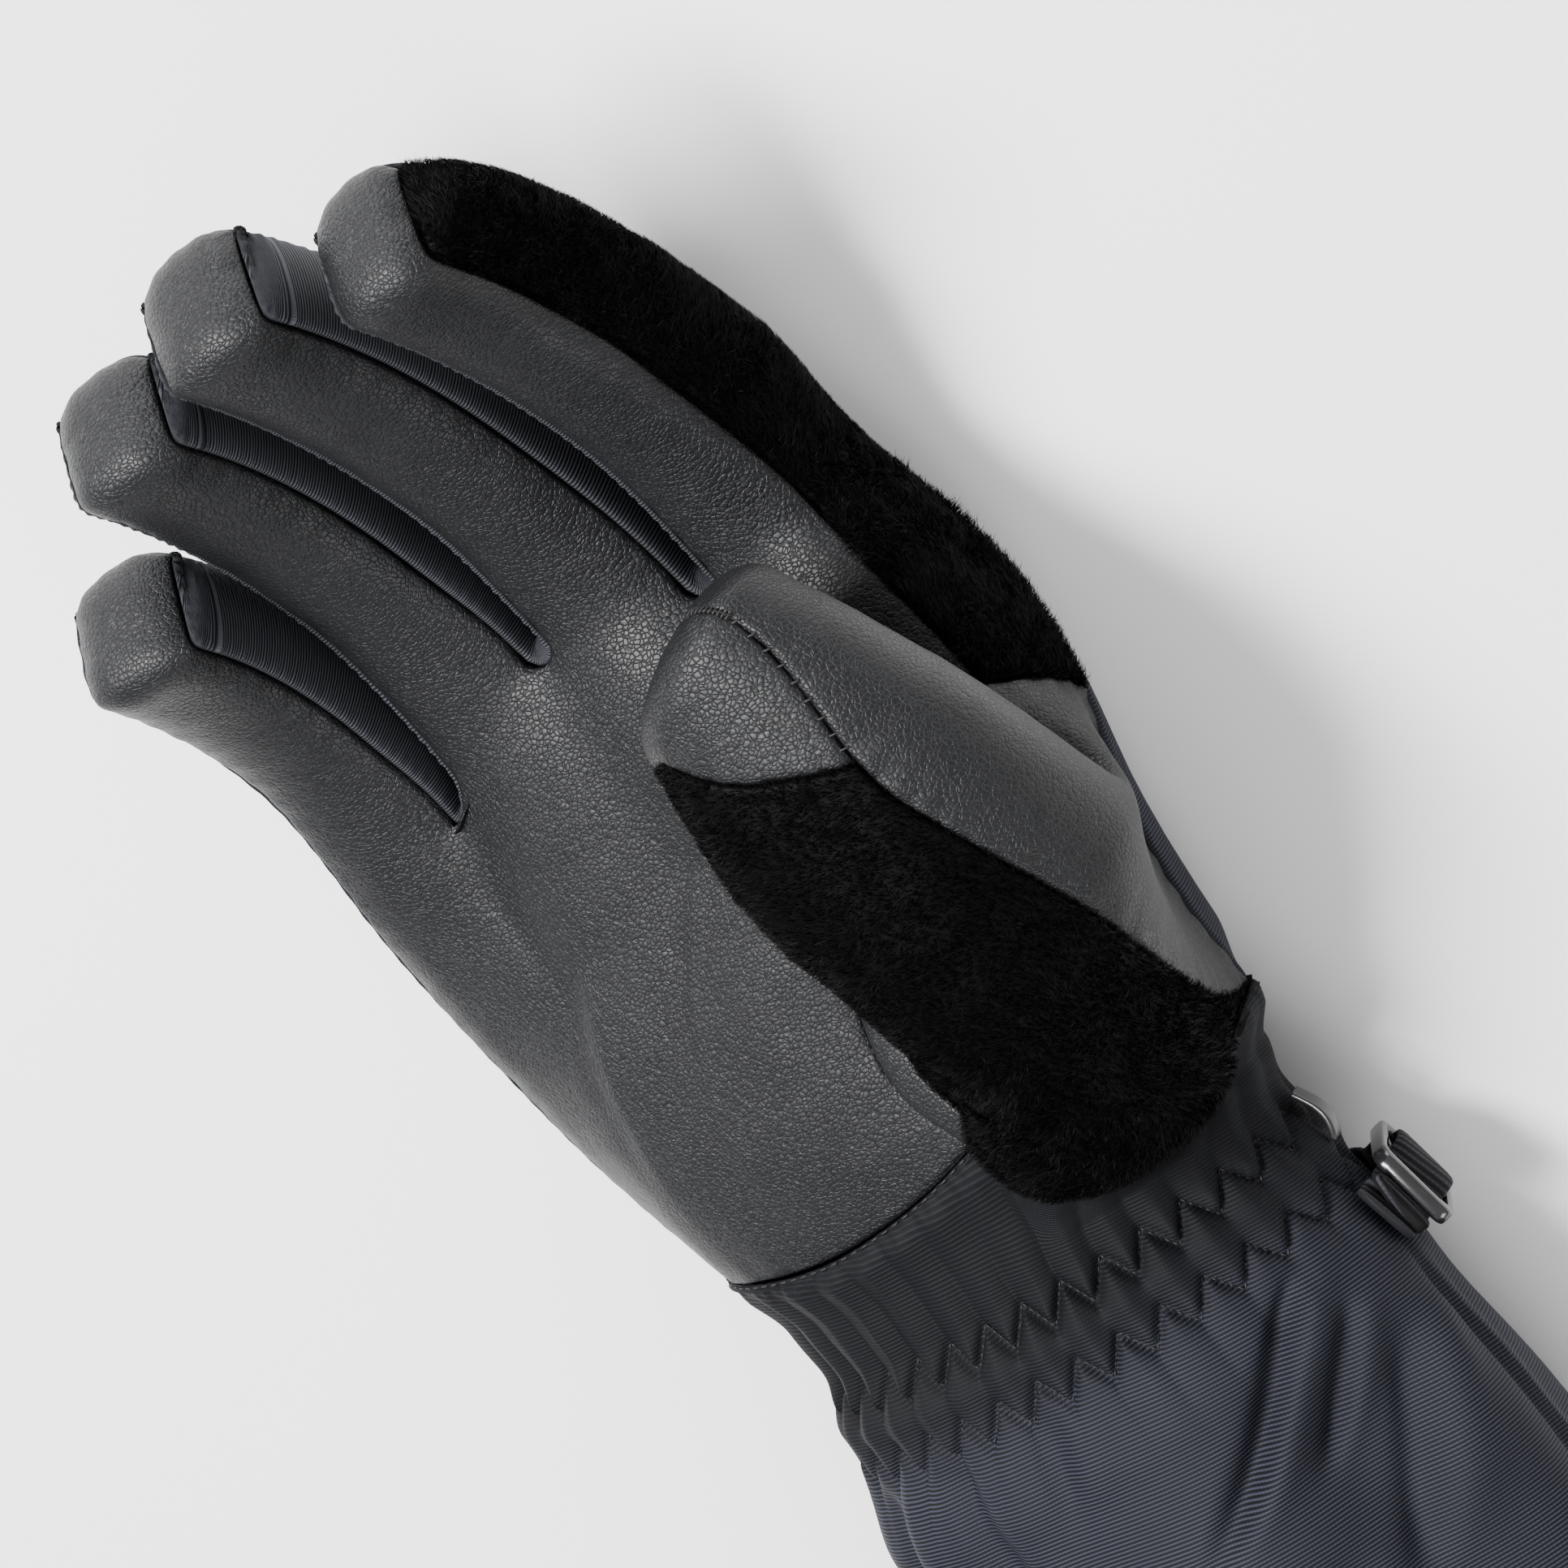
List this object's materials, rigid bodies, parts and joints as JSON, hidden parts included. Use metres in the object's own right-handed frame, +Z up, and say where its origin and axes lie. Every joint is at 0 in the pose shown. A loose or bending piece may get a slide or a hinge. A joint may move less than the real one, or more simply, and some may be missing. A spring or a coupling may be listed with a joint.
{
  "type": "waterproof leather glove",
  "caption": "Right-hand winter glove with a long cuff: grain leather palm, fingers and thumb, fur patches on thumb and index finger, twill back, elastic wrist, strap with a slotted buckle.",
  "frame": {"origin": "under the middle of the glove's bounding box, on the surface that its back lies on", "axes": "+Z up out of the palm, +Y from the cuff's mouth to the fingertips, +X to the thumb side"},
  "size_m": [0.1364, 0.3058, 0.0806],
  "materials": {
    "grain_leather": "pebbled grain, soft sheen",
    "shell_twill": "fine diagonal twill, matt",
    "fur_pile": "short soft pile",
    "buckle_plastic": "smooth, glossy",
    "webbing": "ribbed narrow webbing",
    "loop_cord": "smooth, slightly shiny"
  },
  "bodies": {
    "root": {"palm_leather": "grain_leather", "back_fabric": "shell_twill", "ulnar_side": "shell_twill", "index_fur": "fur_pile", "fork_ring_little": "shell_twill", "fork_middle_ring": "shell_twill", "fork_index_middle": "shell_twill", "thumb_leather": "grain_leather", "thumb_tip": "grain_leather", "thumb_fur": "fur_pile", "thumb_gusset": "grain_leather", "wrist_band": "shell_twill", "cuff": "shell_twill", "cuff_hem": "shell_twill", "strap_buckle": "buckle_plastic", "wrist_strap": "webbing", "wrist_loop": "loop_cord"}
  },
  "joints": []
}
